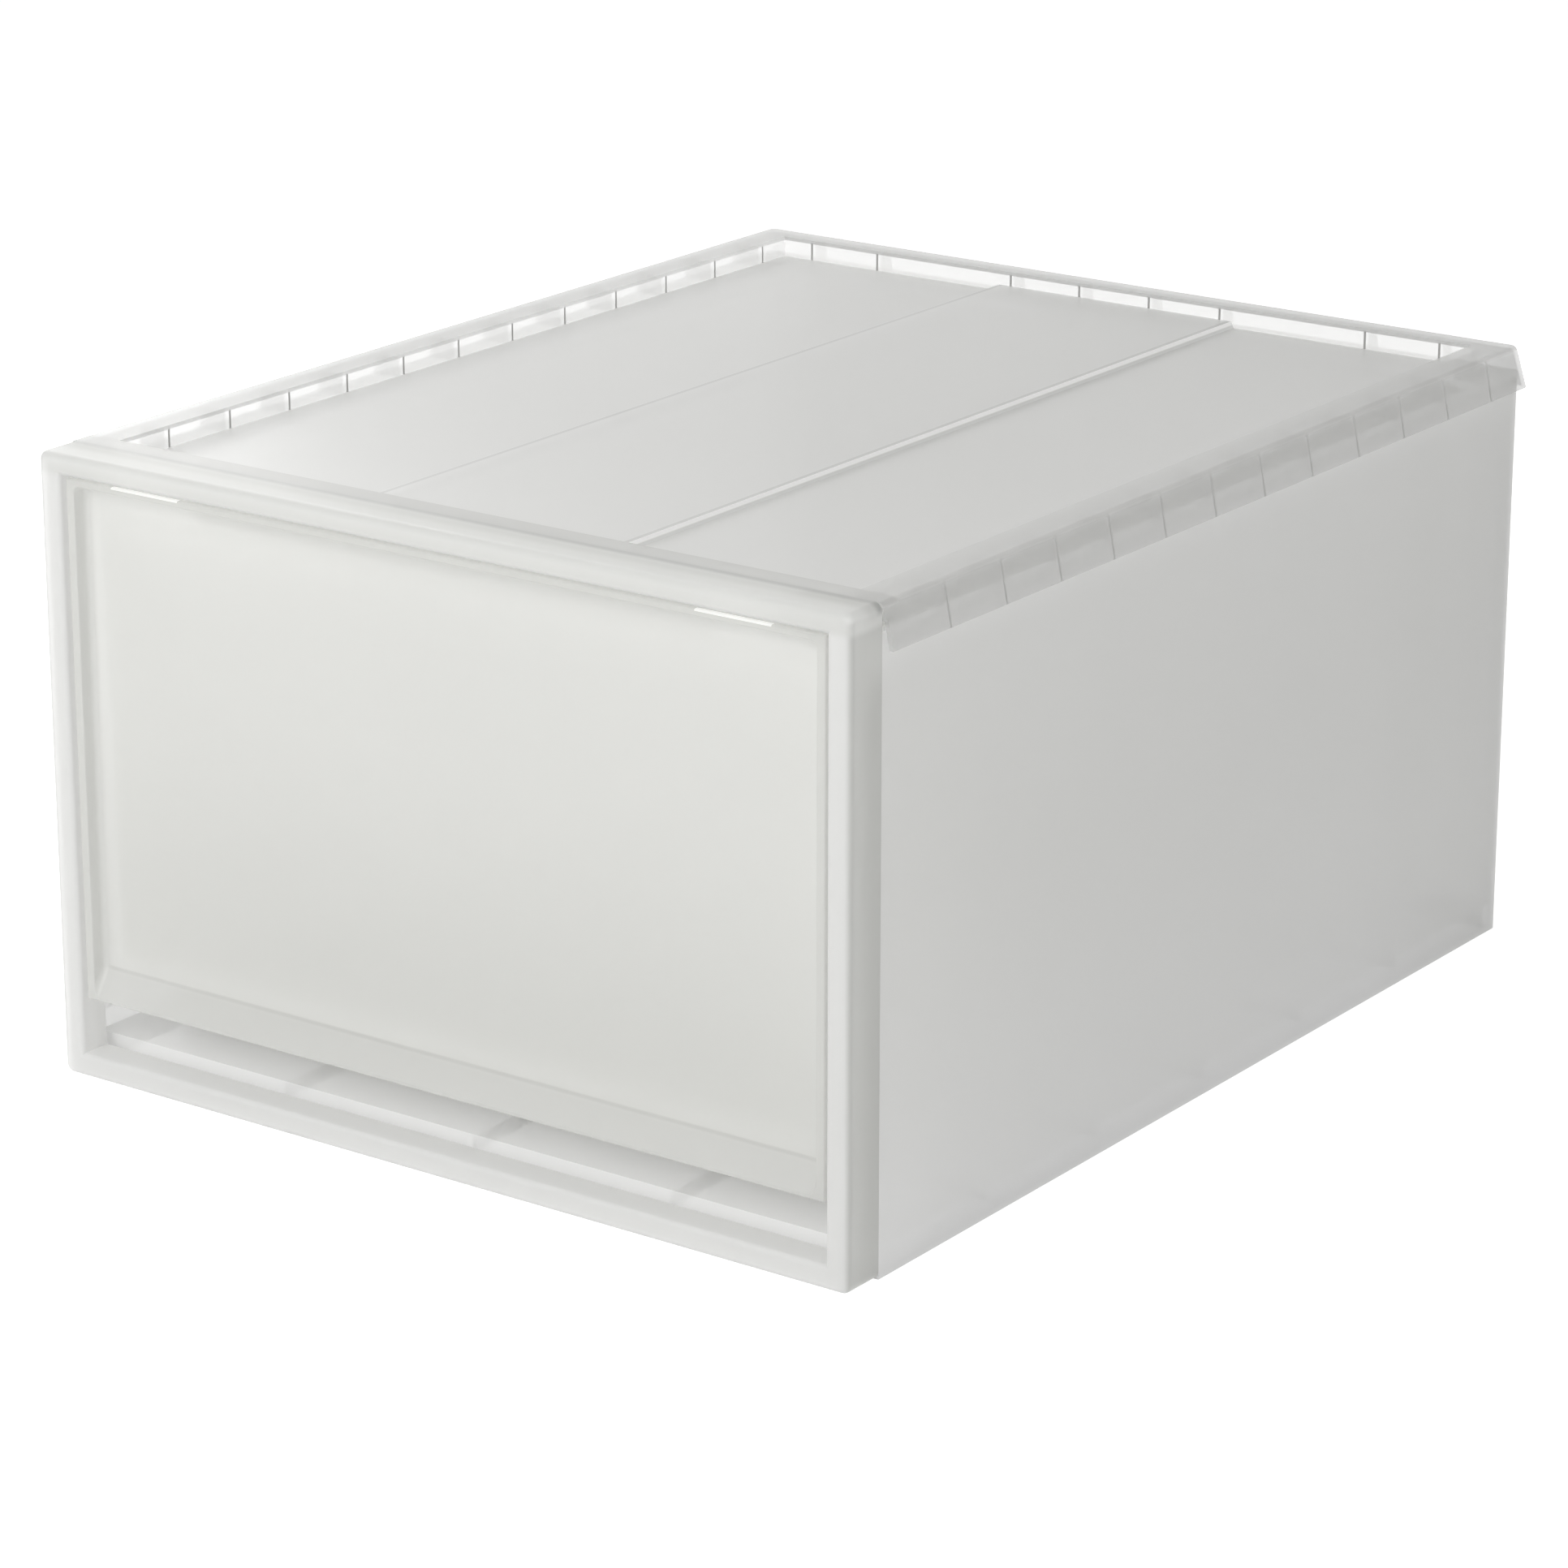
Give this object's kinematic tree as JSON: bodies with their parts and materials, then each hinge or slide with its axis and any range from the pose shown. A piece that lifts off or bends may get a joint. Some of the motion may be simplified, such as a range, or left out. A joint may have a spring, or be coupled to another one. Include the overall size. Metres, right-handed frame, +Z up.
{
  "type": "plastic drawer case",
  "caption": "Translucent plastic storage case with a thick front frame, a rimmed stacking lid and a pull-out drawer with a full-width grip lip.",
  "frame": {"origin": "middle of the footprint, on the floor", "axes": "+Z up, the drawer opens towards -Y, +X to the right of someone facing the drawer"},
  "size_m": [0.44, 0.55, 0.29],
  "materials": {
    "milky_frame": "satin",
    "frosted_lid": "satin",
    "frosted_wall": "frosted",
    "frosted_drawer": "frosted",
    "frosted_front": "frosted"
  },
  "bodies": {
    "case": {"front_frame": "milky_frame", "top_panel": "frosted_lid", "left_side_panel": "frosted_wall", "right_side_panel": "frosted_wall", "back_panel": "frosted_wall", "base_panel": "frosted_wall"},
    "drawer": {"drawer_tub": "frosted_drawer", "drawer_front": "frosted_front"}
  },
  "joints": [
    {"name": "drawer_slide", "type": "slide", "parent": "case", "child": "drawer", "axis": [0, -1, 0], "range_m": [0, 0.5155]}
  ]
}
